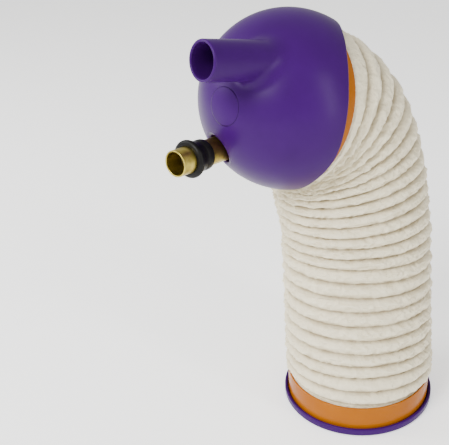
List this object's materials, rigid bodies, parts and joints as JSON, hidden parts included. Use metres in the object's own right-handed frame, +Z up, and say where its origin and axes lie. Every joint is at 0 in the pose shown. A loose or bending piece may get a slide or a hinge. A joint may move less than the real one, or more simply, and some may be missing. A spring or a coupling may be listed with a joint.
{
  "type": "collapsible bellows chamber",
  "caption": "Ball-shaped plastic head with a neck and a brass tube in a bung, on a wire-ribbed duct that stretches and bends above a collar and base cap.",
  "frame": {"origin": "centre of the underside of the base cap, on the surface it stands on", "axes": "+Z up through the base; the ball head droops towards -Y; the duct's lowest segment leans towards -X and +Y"},
  "size_m": [0.1393, 0.1881, 0.283],
  "materials": {
    "purple_plastic": "semi-gloss, blow-moulded",
    "orange_plastic": "glossy, moulded",
    "duct_film": "crinkled cream film over wire",
    "spring_steel": "drawn wire",
    "seal_bead": "pale glue bead",
    "brass": "turned, slightly tarnished",
    "black_rubber": "satin"
  },
  "bodies": {
    "base": {"base_cap": "purple_plastic", "base_ring": "orange_plastic", "base_seal": "seal_bead", "base_cuff": "duct_film", "film_fold_01": "duct_film"},
    "turn_01": {"wire_turn_01": "spring_steel", "film_fold_02": "duct_film"},
    "turn_02": {"wire_turn_02": "spring_steel", "film_fold_03": "duct_film"},
    "turn_03": {"wire_turn_03": "spring_steel", "film_fold_04": "duct_film"},
    "turn_04": {"wire_turn_04": "spring_steel", "film_fold_05": "duct_film"},
    "turn_05": {"wire_turn_05": "spring_steel", "film_fold_06": "duct_film"},
    "turn_06": {"wire_turn_06": "spring_steel", "film_fold_07": "duct_film"},
    "turn_07": {"wire_turn_07": "spring_steel", "film_fold_08": "duct_film"},
    "turn_08": {"wire_turn_08": "spring_steel", "film_fold_09": "duct_film"},
    "turn_09": {"wire_turn_09": "spring_steel", "film_fold_10": "duct_film"},
    "turn_10": {"wire_turn_10": "spring_steel", "film_fold_11": "duct_film"},
    "turn_11": {"wire_turn_11": "spring_steel", "film_fold_12": "duct_film"},
    "head": {"head_shell": "purple_plastic", "head_ring": "orange_plastic", "head_seal": "seal_bead", "head_cuff": "duct_film"},
    "tube": {"brass_tube": "brass", "tube_gauze": "spring_steel"},
    "bung": {"rubber_bung": "black_rubber"}
  },
  "joints": [
    {"name": "lean", "type": "hinge", "parent": "base", "child": "turn_01", "pos_m": [-0.05645, 0.03259, 0.0235], "axis": [-0.5, -0.866, 0], "range_deg": [-9.5, 0.95], "deforming": ["film_fold_01"]},
    {"name": "stretch_1", "type": "slide", "parent": "turn_01", "child": "turn_02", "axis": [-0.1429, 0.0825, 0.9863], "range_m": [-0.0142, 0.00142], "deforming": ["film_fold_02"]},
    {"name": "stretch_2", "type": "slide", "parent": "turn_02", "child": "turn_03", "axis": [-0.1429, 0.0825, 0.9863], "range_m": [-0.017, 0.0017], "deforming": ["film_fold_03"]},
    {"name": "stretch_3", "type": "slide", "parent": "turn_03", "child": "turn_04", "axis": [-0.1429, 0.0825, 0.9863], "range_m": [-0.017, 0.0017], "deforming": ["film_fold_04"]},
    {"name": "stretch_4", "type": "slide", "parent": "turn_04", "child": "turn_05", "axis": [-0.1429, 0.0825, 0.9863], "range_m": [-0.017, 0.0017], "deforming": ["film_fold_05"]},
    {"name": "bend_1", "type": "hinge", "parent": "turn_05", "child": "turn_06", "pos_m": [-0.01328, -0.14378, 0.12684], "axis": [0.9897, 0.0059, 0.1429], "range_deg": [-5.6, 0.56], "deforming": ["film_fold_06"]},
    {"name": "bend_2", "type": "hinge", "parent": "turn_06", "child": "turn_07", "pos_m": [-0.01325, -0.20439, 0.12915], "axis": [0.9897, 0.0059, 0.1429], "range_deg": [-4, 0.4], "deforming": ["film_fold_07"]},
    {"name": "bend_3", "type": "hinge", "parent": "turn_07", "child": "turn_08", "pos_m": [-0.01389, -0.1946, 0.13315], "axis": [0.9897, 0.0059, 0.1429], "range_deg": [-4.2, 0.42], "deforming": ["film_fold_08"]},
    {"name": "bend_4", "type": "hinge", "parent": "turn_08", "child": "turn_09", "pos_m": [-0.01689, -0.10593, 0.15029], "axis": [0.9897, 0.0059, 0.1429], "range_deg": [-7.6, 0.76], "deforming": ["film_fold_09"]},
    {"name": "bend_5", "type": "hinge", "parent": "turn_09", "child": "turn_10", "pos_m": [-0.0196, -0.06021, 0.1671], "axis": [0.9897, 0.0059, 0.1429], "range_deg": [-14.4, 1.44], "deforming": ["film_fold_10"]},
    {"name": "bend_6", "type": "hinge", "parent": "turn_10", "child": "turn_11", "pos_m": [-0.02103, -0.05038, 0.17665], "axis": [0.9897, 0.0059, 0.1429], "range_deg": [-20.4, 2.04], "deforming": ["film_fold_11"]},
    {"name": "bend_7", "type": "hinge", "parent": "turn_11", "child": "head", "pos_m": [-0.02141, -0.05229, 0.17936], "axis": [0.9897, 0.0059, 0.1429], "range_deg": [-20.8, 2.08], "deforming": ["film_fold_12"]},
    {"name": "tube_pull", "type": "slide", "parent": "head", "child": "tube", "axis": [0.1542, -0.9857, 0.0675], "range_m": [-0.002, 0.014]},
    {"name": "bung_slide", "type": "slide", "parent": "tube", "child": "bung", "axis": [0.1542, -0.9857, 0.0675], "range_m": [-0.002, 0.006]}
  ],
  "couplings": [
    {"joint": "lean", "follows": "stretch_1", "rad_per_m": 11.676},
    {"joint": "stretch_2", "follows": "stretch_1", "ratio": 1.1972},
    {"joint": "stretch_3", "follows": "stretch_1", "ratio": 1.1972},
    {"joint": "stretch_4", "follows": "stretch_1", "ratio": 1.1972},
    {"joint": "bend_2", "follows": "bend_1", "ratio": 0.71429},
    {"joint": "bend_3", "follows": "bend_1", "ratio": 0.75},
    {"joint": "bend_4", "follows": "bend_1", "ratio": 1.3571},
    {"joint": "bend_5", "follows": "bend_1", "ratio": 2.5714},
    {"joint": "bend_6", "follows": "bend_1", "ratio": 3.6429},
    {"joint": "bend_7", "follows": "bend_1", "ratio": 3.7143}
  ]
}
